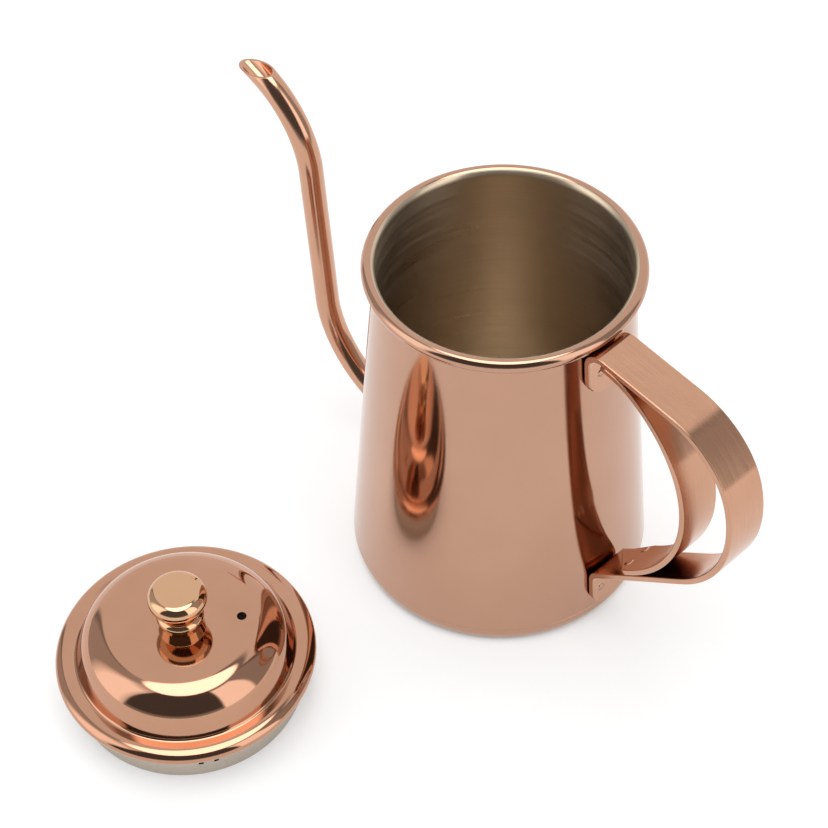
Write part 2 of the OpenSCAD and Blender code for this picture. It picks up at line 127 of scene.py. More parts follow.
# -------------------------------------------------------- runs of bent sheet, tube and strap
# A step is (0, length) or (bend radius, turn), and a run is a list of steps. A state is (x, y,
# heading), and the heading and the turns are clockwise from +Y.
def moved(at, step, part=1.0):
    """The state after a step, or after a part of it."""
    h, amount = at[2], part * step[1]
    if step[0] == 0:
        return (at[0] + amount * sind(h), at[1] + amount * cosd(h), h)
    r = math.copysign(step[0], step[1])
    x = at[0] + r * (cosd(h) - cosd(h + amount))
    y = at[1] + r * (sind(h + amount) - sind(h))
    return (x, y, h + amount)


def step_length(step):
    return step[1] if step[0] == 0 else math.radians(abs(step[1])) * step[0]


def run_length(run):
    return sum(step_length(step) for step in run)


def run_end(run, at):
    for step in run:
        at = moved(at, step)
    return at


def state_at(run, at, s):
    """The state after a length along a run. Past either end, the run goes on straight."""
    if s < 0:
        return moved(at, (0, s))
    for step in run:
        long = step_length(step)
        if s <= long:
            return moved(at, step, s / long)
        at, s = moved(at, step), s - long
    return moved(at, (0, s))


def run_states(run, at, flat=4.0, turn=5.0):
    """The states along a run, at most flat apart or turn apart, and the length run at each."""
    states, lengths, s = [at], [0.0], 0.0
    for step in run:
        long = step_length(step)
        if step[0] == 0:
            n = max(1, math.ceil(long / flat))
        else:
            n = max(2, math.ceil(abs(step[1]) / turn))
        states += [moved(at, step, k / n) for k in range(1, n + 1)]
        lengths += [s + long * k / n for k in range(1, n + 1)]
        at, s = states[-1], s + long
    return states, lengths


def beside(at, left):
    return (at[0] - left * cosd(at[2]), at[1] + left * sind(at[2]))


def left_normal(at, side=1):
    return (-side * cosd(at[2]), side * sind(at[2]))


def on_wall(u, v):
    """The state u up the body's slope and v out from its surface, heading up the slope."""
    return (BASE_R - u * sind(lean) + v * cosd(lean), u * cosd(lean) + v * sind(lean), -lean)


def root_of(f, low, high):
    """Where f, which rises, crosses zero."""
    for _ in range(40):
        mid = (low + high) / 2
        low, high = (mid, high) if f(mid) < 0 else (low, mid)
    return (low + high) / 2


def arc_radius(span, rise, edge):
    """The radius of an arc that falls by rise over span, then meets a bend of radius edge."""
    return (span * span + rise * rise - edge * edge) / (2 * (rise - edge))


# -------------------------------------------------------- meshes with exact normals
def add_object(name, data):
    obj = bpy.data.objects.new(name, data)
    bpy.context.scene.collection.objects.link(obj)
    return obj


def make_mesh(name, verts, faces, normals, uvs, mats, at=(0, 0, 0)):
    """A piece from vertices in millimetres. A face is (vertex numbers, material number), and each
    of its corners has its own normal and UV."""
    mesh = bpy.data.meshes.new(name)
    place = np.array(at, float)
    points = [tuple((np.array(v) + place) * MM) for v in verts]
    mesh.from_pydata(points, [], [f[0] for f in faces])
    mesh.polygons.foreach_set("material_index", [f[1] for f in faces])
    mesh.polygons.foreach_set("use_smooth", [True] * len(faces))
    layer = mesh.uv_layers.new(name="UVMap")
    layer.data.foreach_set("uv", np.array(uvs, np.float32).ravel())
    mesh.update()
    mesh.normals_split_custom_set([tuple(n) for n in normals])
    for m in mats:
        mesh.materials.append(m)
    return add_object(name, mesh)


def outline_length(points):
    return np.concatenate([[0], np.cumsum(np.hypot(*np.diff(np.array(points), axis=0).T))])


def lathe(name, strips, mats, at=(0, 0, 0), segs=192):
    """Turns a closed section about Z. Its strips are (points, normals, material number), each one
    starts where the last one ends, and the solid lies on their right."""
    points, edges = [], []
    for strip_points, strip_normals, mat in strips:
        points += strip_points[:-1]
        edges += [(na, nb, mat) for na, nb in zip(strip_normals, strip_normals[1:])]
    last = strips[-1][0][-1]
    closed = math.dist(last, points[0]) < TINY
    if not closed:
        points.append(last)
    lengths = outline_length(points + ([points[0]] if closed else []))
    angles = [2 * math.pi * j / segs for j in range(segs + 1)]
    rings, verts = [], []
    for r, z in points:
        if abs(r) < TINY:
            rings.append([len(verts)] * segs)
            verts.append((0, 0, z))
        else:
            rings.append(range(len(verts), len(verts) + segs))
            verts += [(r * math.cos(a), r * math.sin(a), z) for a in angles[:segs]]
    faces, normals, uvs = [], [], []
    for k, (na, nb, mat) in enumerate(edges):
        a, b = rings[k], rings[(k + 1) % len(points)]
        for j in range(segs):
            i = (j + 1) % segs
            corners = [(a[j], j, na, k), (b[j], j, nb, k + 1)]
            corners += [(b[i], j + 1, nb, k + 1), (a[i], j + 1, na, k)]
            if a[j] == a[i]:
                del corners[3]
            elif b[j] == b[i]:
                del corners[2]
            faces.append(([c[0] for c in corners], mat))
            for _, turn, (nr, nz), along in corners:
                normals.append((nr * math.cos(angles[turn]), nr * math.sin(angles[turn]), nz))
                uvs.append((angles[turn] / (2 * math.pi) * TURN_UV_W, lengths[along]))
    return make_mesh(name, verts, faces, normals, uvs, mats, at)


def face_strip(states, side, t, mat):
    """One face of a bent sheet of thickness t: side is 1 for its left face, -1 for its right."""
    points = [beside(s, side * t / 2) for s in states]
    return points, [left_normal(s, side) for s in states], mat


def edge_strip(state, end, t, radius, mat):
    """A sheet's free edge with round corners: from left to right at the end of its run, where end
    is 1, or from right to left at its start, where end is -1."""
    points, normals = [], []
    left, ahead = left_normal(state), (sind(state[2]), cosd(state[2]))
    for k in range(7):
        a = end * 90 - 30 * k
        s, c = sind(a), cosd(a)
        across = math.copysign(t / 2 - radius * (1 - abs(s)), s) if abs(s) > TINY else 0.0
        points.append(beside(moved(state, (0, radius * (c - end))), across))
        normals.append((left[0] * s + ahead[0] * c, left[1] * s + ahead[1] * c))
    return points, normals, mat


def sheet_strips(run, at, t, split=None, mats=(0, 0), edge=SHEET_EDGE_R, turn=5.0):
    """The section of a bent sheet, out along its left face and back along its right one. mats are
    the materials of the two. From the first state that passes split, the left has the right's."""
    states, along = run_states(run, at, turn=turn)
    inner = range(1, len(states) - 1)
    clear = [states[k] for k in inner if 1.5 * edge < along[k] < along[-1] - 1.5 * edge]
    on_axis = abs(states[0][0]) < TINY
    first = states[0] if on_axis else moved(states[0], (0, edge))
    left = [first, *clear, moved(states[-1], (0, -edge))]
    if split:
        cut = next(k for k, s in enumerate(left) if split(s))
        strips = [face_strip(left[: cut + 1], 1, t, mats[0]), face_strip(left[cut:], 1, t, mats[1])]
    else:
        strips = [face_strip(left, 1, t, mats[0])]
    strips.append(edge_strip(states[-1], 1, t, edge, strips[-1][2]))
    strips.append(face_strip(left[::-1], -1, t, mats[1]))
    if not on_axis:
        strips.append(edge_strip(states[0], -1, t, edge, mats[1]))
    return strips


def read_all(items, what, width=1, kind=np.float32):
    out = np.zeros(len(items) * width, kind)
    items.foreach_get(what, out)
    return out.reshape(-1, width) if width > 1 else out


def set_profile_normals(mesh, strips, at):
    """Gives each face corner the section's normal where the corner lies on the section, else its
    face's own."""
    near_enough, same_way = 0.03, 0.8  # from the section, and from its normal, as a cosine
    vertex = read_all(mesh.loops, "vertex_index", kind=np.int32)
    co = read_all(mesh.vertices, "co", 3)[vertex] / MM - np.array(at)
    corners = read_all(mesh.polygons, "loop_total", kind=np.int32)
    out = np.repeat(read_all(mesh.polygons, "normal", 3), corners, axis=0)
    r = np.hypot(co[:, 0], co[:, 1])
    radial = co[:, :2] / np.maximum(r, TINY)[:, None]
    key = np.stack([r, co[:, 2], (out[:, :2] * radial).sum(1), out[:, 2]], 1)
    rounded = np.round(key * (1000, 1000, 50, 50))
    _, first, same = np.unique(rounded, axis=0, return_index=True, return_inverse=True)
    p, flat = key[first, :2], key[first, 2:]
    best, found = np.full(len(p), near_enough), np.full((len(p), 2), np.nan)
    for points, normals, _ in strips:
        for a, b, na, nb in zip(points, points[1:], normals, normals[1:]):
            a, d = np.array(a), np.subtract(b, a)
            t = np.clip(((p - a) @ d) / max(d @ d, 1e-12), 0, 1)[:, None]
            gap = np.hypot(*(p - a - t * d).T)
            n = (1 - t) * np.array(na) + t * np.array(nb)
            n /= np.maximum(np.hypot(*n.T), 1e-9)[:, None]
            ok = (gap < best) & ((n * flat).sum(1) > same_way)
            best[ok], found[ok] = gap[ok], n[ok]
    n = found[same.ravel()]
    on = ~np.isnan(n[:, 0])
    out[on, :2] = radial[on] * n[on, :1]
    out[on, 2] = n[on, 1]
    mesh.polygons.foreach_set("use_smooth", [True] * len(mesh.polygons))
    mesh.normals_split_custom_set(out.tolist())


def cut_holes(obj, cutters, strips, at=(0, 0, 0)):
    """Cuts holes in a lathe piece with the boolean solver for closed meshes, then sets its normals
    again from its section."""
    for c in cutters:
        mod = obj.modifiers.new("cut", "BOOLEAN")
        mod.object, mod.operation, mod.solver = c, "DIFFERENCE", "MANIFOLD"
    bpy.context.view_layer.update()
    deps = bpy.context.evaluated_depsgraph_get()
    made = bpy.data.meshes.new_from_object(obj.evaluated_get(deps), depsgraph=deps)
    obj.modifiers.clear()
    old, obj.data = obj.data, made
    bpy.data.meshes.remove(old)
    for c in cutters:
        bpy.data.objects.remove(c)
    set_profile_normals(made, strips, at)


def cutter(kind, size, matrix):
    """A tool for cut_holes: a round bar of (radius, length) along Z, or a box of (x, y, z)."""
    bm = bmesh.new()
    if kind == "round":
        r, length = size
        bmesh.ops.create_cone(
            bm, cap_ends=True, segments=64, radius1=r, radius2=r, depth=length
        )
    else:
        bmesh.ops.create_cube(bm, size=1, matrix=Matrix.Diagonal((*size, 1)))
    bmesh.ops.transform(bm, matrix=Matrix.Scale(MM, 4) @ matrix, verts=bm.verts)
    mesh = bpy.data.meshes.new("cutter")
    bm.to_mesh(mesh)
    bm.free()
    return add_object("cutter", mesh)


# -------------------------------------------------------- materials
class Nodes:
    """Short calls for building a node tree. An input is named by its socket, with _ for a space,
    or by its number, as in i0, and p_ goes before a property of the node itself."""

    def __init__(self, name="", tree=None):
        if tree is None:
            self.mat = bpy.data.materials.new(name)
            self.mat.use_nodes = True
            tree = self.mat.node_tree
        self.tree = tree
        self.bsdf = tree.nodes.get("Principled BSDF")

    def node(self, kind, **inputs):
        n = self.tree.nodes.new(kind)
        for key, value in inputs.items():
            self.put(n, key, value)
        return n

    def put(self, n, key, value):
        if key.startswith("p_"):
            setattr(n, key[2:], value)
            return
        numbered = key[0] == "i" and key[1:].isdigit()
        socket = n.inputs[int(key[1:]) if numbered else n.inputs.find(key.replace("_", " "))]
        if isinstance(value, bpy.types.NodeSocket):
            self.tree.links.new(value, socket)
        else:
            socket.default_value = value

    def math(self, op, a, b=0.0):
        return self.node("ShaderNodeMath", p_operation=op, i0=a, i1=b).outputs[0]

    def remap(self, x, low, high, to_low, to_high):
        n = self.node("ShaderNodeMapRange", Value=x)
        self.put(n, "From_Min", low)
        self.put(n, "From_Max", high)
        self.put(n, "To_Min", to_low)
        self.put(n, "To_Max", to_high)
        return n.outputs[0]

    def noise(self, where, scale, stretch=(1, 1, 1), detail=4.0, rough=0.5):
        m = self.node("ShaderNodeMapping", Vector=where, Scale=stretch)
        n = self.node("ShaderNodeTexNoise", Vector=m.outputs[0], Scale=scale)
        self.put(n, "Detail", detail)
        self.put(n, "Roughness", rough)
        return n.outputs[0]

    def mix(self, fac, a, b):
        return self.node("ShaderNodeMix", p_data_type="RGBA", i0=fac, i6=a, i7=b).outputs[2]

    def bump(self, height, strength, distance, normal=None):
        n = self.node("ShaderNodeBump", Height=height, Strength=strength, Distance=distance)
        if normal is not None:
            self.put(n, "Normal", normal)
        return n.outputs[0]


def polished(name, light, dark, rough, grain, wave=0.02):
    """Mirror-polished plating: slow waves from spinning, hairlines round the form, and faint wiping
    marks. Bump distances are in metres here and in brushed."""
    m = Nodes(name)
    tex = m.node("ShaderNodeTexCoord")
    obj, uv = tex.outputs["Object"], tex.outputs["UV"]
    cloud = m.noise(obj, 22, detail=5, rough=0.6)
    hair = m.noise(uv, 1.0, stretch=(0.02, 14, 1), detail=6, rough=0.7)
    slow = m.noise(obj, 55, detail=1)
    m.put(m.bsdf, "Base_Color", m.mix(m.remap(cloud, 0.35, 0.7, 0, 1), light, dark))
    wipe = m.remap(cloud, 0.45, 0.75, 0, 0.05)
    fine = m.remap(hair, 0.5, 0.8, 0, grain)
    m.put(m.bsdf, "Roughness", m.math("ADD", m.math("ADD", wipe, fine), rough))
    m.put(m.bsdf, "Metallic", 1.0)
    n = m.bump(slow, wave, 0.0004)
    m.put(m.bsdf, "Normal", m.bump(hair, 0.02, 0.00005, n))
    return m.mat


def brushed(name, light, dark, rough, along, cross, depth, marks=(), aniso=0.5):
    """Brushed sheet: long grain lines along the UV's first axis, at two scales. along and cross
    are the grain's scales, and marks are spot welds: (place, radius)."""
    m = Nodes(name)
    tex = m.node("ShaderNodeTexCoord")
    obj, uv = tex.outputs["Object"], tex.outputs["UV"]
    grain = m.noise(uv, 1.0, stretch=(along, cross, 1), detail=8, rough=0.65)
    coarse = m.noise(uv, 1.0, stretch=(along * 0.5, cross * 0.22, 1), detail=3, rough=0.5)
    cloud = m.noise(obj, 35, detail=4, rough=0.55)
    tone = m.math("ADD", m.remap(grain, 0.3, 0.7, 0, 0.6), m.remap(cloud, 0.3, 0.7, 0, 0.4))
    m.put(m.bsdf, "Base_Color", m.mix(tone, light, dark))
    streaks = m.remap(coarse, 0.3, 0.7, rough * 0.8, rough * 1.15)
    smudge = m.remap(cloud, 0.5, 0.8, 0, 0.08)
    m.put(m.bsdf, "Roughness", m.math("ADD", streaks, smudge))
    m.put(m.bsdf, "Metallic", 1.0)
    m.put(m.bsdf, "Anisotropic", aniso)
    m.put(m.bsdf, "Anisotropic_Rotation", 0.25)
    tangent = m.node("ShaderNodeTangent", p_direction_type="UV_MAP")
    m.put(m.bsdf, "Tangent", tangent.outputs[0])
    n = m.bump(grain, 0.35, depth)
    for place, radius in marks:
        centre = [c * MM for c in place]
        gap = m.node("ShaderNodeVectorMath", p_operation="DISTANCE", i0=obj, i1=centre)
        ring = m.remap(gap.outputs["Value"], radius * MM * 0.45, radius * MM, 1, 0)
        soft = m.node("ShaderNodeMapRange", p_interpolation_type="SMOOTHSTEP", Value=ring)
        n = m.bump(soft.outputs[0], 1.0, 0.0008, n)
    m.put(m.bsdf, "Normal", n)
    return m.mat


# The light and the dark tone of each finish.
COPPER = ((0.52, 0.302, 0.209, 1), (0.485, 0.277, 0.189, 1))
TUBE = ((0.60, 0.335, 0.225, 1), (0.55, 0.305, 0.20, 1))
LID = ((0.54, 0.295, 0.195, 1), (0.49, 0.26, 0.165, 1))
SATIN = ((0.66, 0.375, 0.25, 1), (0.48, 0.255, 0.16, 1))
GOLD = ((0.66, 0.40, 0.24, 1), (0.61, 0.355, 0.21, 1))
STEEL = ((0.68, 0.55, 0.41, 1), (0.56, 0.45, 0.33, 1))
SKIRT = ((0.56, 0.49, 0.41, 1), (0.46, 0.405, 0.34, 1))

copper_body = polished("copper_body", *COPPER, rough=0.08, grain=0.04)
copper_tube = polished("copper_tube", *TUBE, rough=0.15, grain=0.03)
copper_lid = polished("copper_lid", *LID, rough=0.05, grain=0.03)
gold = polished("gold_knob", *GOLD, rough=0.04, grain=0.03, wave=0.01)
steel_inside = brushed(
    "steel_inside", *STEEL, rough=0.33, along=0.02, cross=2.2, depth=0.00004, aniso=0.85
)
steel_skirt = brushed("steel_skirt", *SKIRT, rough=0.28, along=0.02, cross=3.0, depth=0.00003)
steel_screw = brushed("steel_screw", *SKIRT, rough=0.25, along=1.0, cross=1.0, depth=0.00002)


def strap_copper(name, marks):
    return brushed(
        name, *SATIN, rough=0.17, along=0.05, cross=6.0, depth=0.00003, marks=marks, aniso=0.6
    )


# -------------------------------------------------------- body shell
COPPER_FROM = 62  # heading on the rim's bead where the steel inside gives way to copper
shell_run = [(0, bead_u - seam_u), (BEAD_R - SHEET / 2, BEAD_TURN)]
shell_strips = sheet_strips(
    shell_run, on_wall(seam_u, -SHEET / 2), SHEET, split=lambda s: s[2] > COPPER_FROM, mats=(1, 0)
)
shell = lathe("kettle_shell", shell_strips, [copper_body, steel_inside])
root_r = BASE_R - SPOUT_ROOT_Z * tand(lean)
root_axis = Matrix.Translation((-root_r, 0, SPOUT_ROOT_Z)) @ rotation(SPOUT_ROOT_RISE - 90, "Y")
cut_holes(shell, [cutter("round", (SPOUT_R + WELD_GAP, CUT_L), root_axis)], shell_strips)
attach(shell, "kettle")
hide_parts("body_shell")

# -------------------------------------------------------- base pan
pan_run = [
    (0, PAN_CENTRE_R),
    (PAN_BEND_R, pan_step),
    (PAN_BEND_R, -pan_step),
    (0, pan_foot_l),
    (CORNER_R - SHEET / 2, -90 - lean),
    (0, seam_u - corner_u),
]
pan_start = (0, PAN_RAISE + SHEET / 2, 90)
pan_strips = sheet_strips(pan_run, pan_start, SHEET, mats=(1, 0), edge=PAN_EDGE_R)
pan = lathe("base_pan_plate", pan_strips, [copper_body, steel_inside])
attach(pan, "kettle")
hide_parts("base_pan")

# -------------------------------------------------------- spout
# Along the tube it is worked out in a frame of (outward, up, across).
spout_start = (root_r, SPOUT_ROOT_Z, 90 - SPOUT_ROOT_RISE)
spout_long = run_length(SPOUT_RUN)
tip = run_end(SPOUT_RUN, spout_start)
cut_up = (sind(TIP_CUT_FALL), cosd(TIP_CUT_FALL), 0)
phis = [2 * math.pi * j / SPOUT_SEGS for j in range(SPOUT_SEGS)]


def spout_point(s, phi, r):
    """The point of the tube's surface at a length from the wall, and its normal there."""
    at = state_at(SPOUT_RUN, spout_start, s)
    nx, ny = left_normal(at)
    c, w = math.cos(phi), math.sin(phi)
    return (at[0] + r * c * nx, at[1] + r * c * ny, r * w), (c * nx, c * ny, w)


def tip_length(phi, r, sink):
    """The length at which the tube is still sink short of the slanting cut at its tip."""
    def above(s):
        p = spout_point(s, phi, r)[0]
        return (p[0] - tip[0]) * cut_up[0] + (p[1] - tip[1]) * cut_up[1] + sink
    return root_of(above, spout_long - TIP_SEARCH, spout_long + TIP_SEARCH)


def wall_length(phi, r):
    """The length at which the tube passes the inside of the kettle's wall."""
    def outside(s):
        p = spout_point(s, phi, r)[0]
        return math.hypot(p[0], p[2]) - (BASE_R - SHEET - p[1] * tand(lean))
    return root_of(outside, *WALL_SEARCH)


# Square rings fill the tube from 1 mm clear of the wall to 1 mm clear of the cut.
wall_max = max(wall_length(phi, SPOUT_R) for phi in phis) + 1
tip_min = min(tip_length(phi, SPOUT_R, LIP_DROP) for phi in phis) - 1
spout_body = [wall_max + (tip_min - wall_max) * k / SPOUT_RINGS for k in range(SPOUT_RINGS + 1)]


def spout_side(phi, r, side):
    """(point, normal, length) along the tube, from the kettle to the tip. side is 1 for its outside
    and -1 for its bore."""
    root, end = wall_length(phi, r), tip_length(phi, r, LIP_DROP)
    lengths = [root + (wall_max - root) * k / ROOT_RINGS for k in range(ROOT_RINGS)]
    lengths += spout_body
    last = spout_body[-1]
    lengths += [last + (end - last) * k / TIP_RINGS for k in range(1, TIP_RINGS + 1)]
    line = []
    for s in lengths:
        p, n = spout_point(s, phi, r)
        line.append((p, [side * c for c in n], s))
    return line


def spout_lip(phi):
    """(point, normal, length) over the lip, from the outside of the tube's wall to its bore."""
    line = []
    for a in range(30, 180, 30):
        r = (SPOUT_R + SPOUT_BORE_R) / 2 + (SPOUT_R - SPOUT_BORE_R) / 2 * cosd(a)
        s = tip_length(phi, r, LIP_DROP * (1 - sind(a)))
        p, n = spout_point(s, phi, r)
        line.append((p, [c * cosd(a) + up * sind(a) for c, up in zip(n, cut_up)], s))
    return line


def build_spout():
    lines = []
    for phi in phis:
        bore = spout_side(phi, SPOUT_BORE_R, -1)
        lines.append(spout_side(phi, SPOUT_R, 1) + spout_lip(phi) + bore[::-1])
    rows = len(lines[0])
    flat = [p for line in lines for p in line]
    verts = [(-p[0], -p[2], p[1]) for p, _, _ in flat]
    vert_normals = [(-n[0], -n[2], n[1]) for _, n, _ in flat]
    faces, normals, uvs = [], [], []
    for j in range(SPOUT_SEGS):
        i = (j + 1) % SPOUT_SEGS
        for k in range(rows):
            m = (k + 1) % rows
            quad = [j * rows + k, j * rows + m, i * rows + m, i * rows + k]
            faces.append((quad, 0))
            if m == 0:  # the ring at the wall, inside the kettle
                a, b, c = (np.array(verts[q]) for q in quad[:3])
                across = np.cross(b - a, c - a)
                normals += [tuple(across / np.linalg.norm(across))] * 4
            else:
                normals += [vert_normals[q] for q in quad]
            for q, turn in zip(quad, (j, j, j + 1, j + 1)):
                uvs.append((flat[q][2], 2 * math.pi * turn / SPOUT_SEGS * SPOUT_R))
    return make_mesh("spout_pipe", verts, faces, normals, uvs, [copper_tube])


spout = build_spout()
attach(spout, "kettle")
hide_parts("spout_tube")

# -------------------------------------------------------- handle straps
half_w = STRAP_W / 2
top_h, mid_h, return_h = 90 + lean + TOP_FALL, 90 + lean + MID_SLOPE, 90 + lean + RETURN_SLOPE
inner_top_h, inner_mid_h = 90 + lean + INNER_TOP_SLOPE, 90 + lean + INNER_MID_SLOPE
tab_v = WELD_GAP + STRAP_T / 2
bend_reach = TAB_BEND_R + STRAP_T / 2 + BEAD_R + RIM_GAP
upper_bend_u = bead_u - math.sqrt(bend_reach**2 - (tab_v + TAB_BEND_R - bead_in) ** 2)
low_bend_u = LOW_TAB_Z / cosd(lean) + TAB_L
tab_end_l = TAB_L + half_w


def outer_steps(top_r, leg):
    """The outer strap between its two tabs."""
    return [
        (TAB_BEND_R, top_h),
        (0, TOP_LEG_L),
        (top_r, mid_h - top_h),
        (top_r * SWEEP_RATIO, return_h - mid_h),
        (0, leg),
        (TAB_BEND_R, 180 - return_h),
    ]


def solve_sweeps():
    """The radius of the upper sweep and the return leg's length that close the strap on the wall.
    Both of them move its end in proportion, so three trials settle them."""
    start = (tab_v, upper_bend_u, 0)
    o, a, b = (run_end(outer_steps(*trial), start) for trial in ((1, 0), (2, 0), (1, 1)))
    m = np.array([[a[0] - o[0], b[0] - o[0]], [a[1] - o[1], b[1] - o[1]]])
    radius, leg = np.linalg.solve(m, [tab_v - o[0], low_bend_u - o[1]])
    return float(radius) + 1, float(leg)


outer_start = on_wall(upper_bend_u - tab_end_l, tab_v)
outer_run = [(0, tab_end_l), *outer_steps(*solve_sweeps()), (0, tab_end_l)]
outer_long = run_length(outer_run)
leg_end = run_end(outer_run[:6], outer_start)
lead_run = [(TAB_BEND_R, top_h), (0, INNER_LEAVE_L - INNER_LAP_L)]
lead_end = run_end(lead_run, on_wall(upper_bend_u, tab_v))
inner_start = (*beside(lead_end, -(STRAP_T + WELD_GAP)), lead_end[2])


def inner_steps(mid_r):
    """The inner strap down to its foot."""
    return [
        (0, INNER_LAP_L),
        (INNER_TOP_R, inner_top_h - top_h),
        (mid_r, inner_mid_h - inner_top_h),
        (INNER_LOW_R, return_h - inner_mid_h),
    ]


def foot_lift(mid_r):
    """How far the foot of the inner strap lies off the return leg, beyond its seat."""
    at = run_end(inner_steps(mid_r), inner_start)
    nx, ny = left_normal(leg_end, -1)
    return (at[0] - leg_end[0]) * nx + (at[1] - leg_end[1]) * ny - (STRAP_T + WELD_GAP)


trial_r, trial_gap = 20, 30  # the lift changes in proportion to the radius
lift = foot_lift(trial_r)
inner_mid_r = trial_r - lift * trial_gap / (foot_lift(trial_r + trial_gap) - lift)
foot_start = run_end(inner_steps(inner_mid_r), inner_start)
foot_to_end = (leg_end[0] - foot_start[0], leg_end[1] - foot_start[1])
foot_reach = foot_to_end[0] * sind(leg_end[2]) + foot_to_end[1] * cosd(leg_end[2])
inner_run = [*inner_steps(inner_mid_r), (0, foot_reach - INNER_END_GAP)]
inner_long = run_length(inner_run)


def unit(v):
    return v / np.maximum(np.linalg.norm(v, axis=1), 1e-9)[:, None]


def right_of(v):
    return np.stack([v[:, 1], -v[:, 0]], 1)


def strap(name, run, start, rows, mat):
    """A bent strap with rounded edges. Its rows are pairs of outline points (s, y), near and far,
    from its start to its end: s is the length along the strap's middle, and y is across it."""
    near, far = [r[0] for r in rows], [r[1] for r in rows]
    loop = near + far[::-1]
    pts = np.array([p for k, p in enumerate(loop) if math.dist(p, loop[k - 1]) > TINY])
    count = len(pts)
    n1 = right_of(unit(pts - np.roll(pts, 1, 0)))
    n2 = right_of(unit(np.roll(pts, -1, 0) - pts))
    out = unit(n1 + n2)
    miter = 1 / np.maximum((out * n1).sum(1), 0.5)
    verts, vert_normals, vert_uvs = [], [], []
    # from the lower face round to the side, then up the side to the upper face
    quarter = range(0, 91, 18)
    for side, a in [(-1, a) for a in quarter] + [(1, a) for a in quarter[::-1]]:
        inset = STRAP_EDGE_R * (1 - sind(a))
        v = side * (STRAP_T / 2 - STRAP_EDGE_R + STRAP_EDGE_R * cosd(a))
        for k in range(count):
            s, y = pts[k] - out[k] * inset * miter[k]
            at = state_at(run, start, s)
            x, z = beside(at, v)
            lx, lz = left_normal(at)
            ns, ny, nv = out[k][0] * sind(a), out[k][1] * sind(a), side * cosd(a)
            verts.append((x, y, z))
            vert_normals.append((ns * sind(at[2]) + nv * lx, ny, ns * cosd(at[2]) + nv * lz))
            vert_uvs.append((s, y + (FACE_UV_GAP if side > 0 else 0)))
    faces, normals, uvs = [], [], []

    def add(face, face_normals):
        faces.append((face, 0))
        normals.extend(face_normals[q] for q in face)
        uvs.extend(vert_uvs[q] for q in face)

    last_ring = len(verts) - count
    for base in range(0, last_ring, count):
        for k in range(count):
            m = (k + 1) % count
            add([base + k, base + m, base + count + m, base + count + k], vert_normals)
    # flat faces, in strips between the paired outline points
    where = {tuple(np.round(p, 6)): k for k, p in enumerate(pts)}
    for side, base in ((-1, 0), (1, last_ring)):
        flat = {}
        for k, p in enumerate(pts):
            lx, lz = left_normal(state_at(run, start, p[0]), side)
            flat[base + k] = (lx, 0, lz)
        for r in range(len(rows) - 1):
            corners = (near[r], near[r + 1], far[r + 1], far[r])
            ids = list(dict.fromkeys(base + where[tuple(np.round(p, 6))] for p in corners))
            if len(ids) > 2:
                add(ids[::side], flat)  # the lower face runs the other way round
    return make_mesh(name, verts, faces, normals, uvs, [mat])


def straight_rows(run, start_s, end_s):
    """Rows of the full width between two lengths, close enough together to follow the bends."""
    clear = 0.2
    _, lengths = run_states(run, (0, 0, 0), flat=5.0, turn=2.5)
    inside = [s for s in lengths if start_s + clear < s < end_s - clear]
    return [((s, -half_w), (s, half_w)) for s in inside]


def on_strap(run, start, s, y, side):
    p = beside(state_at(run, start, s), side * STRAP_T / 2)
    return (p[0], y, p[1])


round_end = [(half_w * (1 - cosd(a)), half_w * sind(a)) for a in range(0, 91, 6)]
outer_rows = [((s, -y), (s, y)) for s, y in round_end]
outer_rows += straight_rows(outer_run, half_w, outer_long - half_w)
outer_rows += [((outer_long - s, -y), (outer_long - s, y)) for s, y in round_end[::-1]]
outer_welds = zip((OUTER_WELD_IN, outer_long - OUTER_WELD_IN), OUTER_WELDS_Y, (-1, 1))
outer_marks = [(on_strap(outer_run, outer_start, *weld), OUTER_WELD_R) for weld in outer_welds]
outer_copper = strap_copper("copper_strap_outer", outer_marks)
outer = strap("handle_strap_outer", outer_run, outer_start, outer_rows, outer_copper)
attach(outer, "kettle")
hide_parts("handle_outer_strap")

# The inner strap's foot narrows to a tongue: its far side flares in, and its near side is cut on
# the skew to the nose. The rows follow both sides there, in two parts.
tip_y = TONGUE_W - half_w
skew_at = inner_long - TONGUE_W * tand(INNER_END_SKEW)
side_at, flare_at = inner_long - TONGUE_SIDE_L, inner_long - TONGUE_SIDE_L - TONGUE_FLARE_L
tongue_from = min(skew_at, flare_at)
square_to = tongue_from - 0.6
inner_rows = [
    ((0.0, -half_w), (0.0, half_w)),
    *straight_rows(inner_run, 0, tongue_from - 1),
    ((square_to, -half_w), (square_to, half_w)),
]
nose_near = [(inner_long - back, tip_y - into) for back, into in NOSE_NEAR]
nose_far = [(inner_long - back, tip_y - into) for back, into in NOSE_FAR]
near_path = [(square_to, -half_w), (skew_at, -half_w), nose_near[0]]
far_path = [(square_to, half_w), (flare_at, half_w), (side_at, tip_y)]


def mixed(a, b, k):
    return (a[0] + (b[0] - a[0]) * k, a[1] + (b[1] - a[1]) * k)


for part, cuts, last in ((0, 3, 3), (1, 9, 8)):
    for k in range(1, last + 1):
        row = [mixed(path[part], path[part + 1], k / cuts) for path in (near_path, far_path)]
        inner_rows.append(tuple(row))
inner_rows += zip(nose_near, nose_far)
weld_s = run_length(inner_run[:-1]) + INNER_WELD_IN
inner_marks = [
    (on_strap(inner_run, inner_start, weld_s, y, -1), INNER_WELD_R) for y in INNER_WELDS_Y
]
inner_copper = strap_copper("copper_strap_inner", inner_marks)
inner = strap("handle_strap_inner", inner_run, inner_start, inner_rows, inner_copper)
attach(inner, "kettle")
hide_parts("handle_inner_strap")

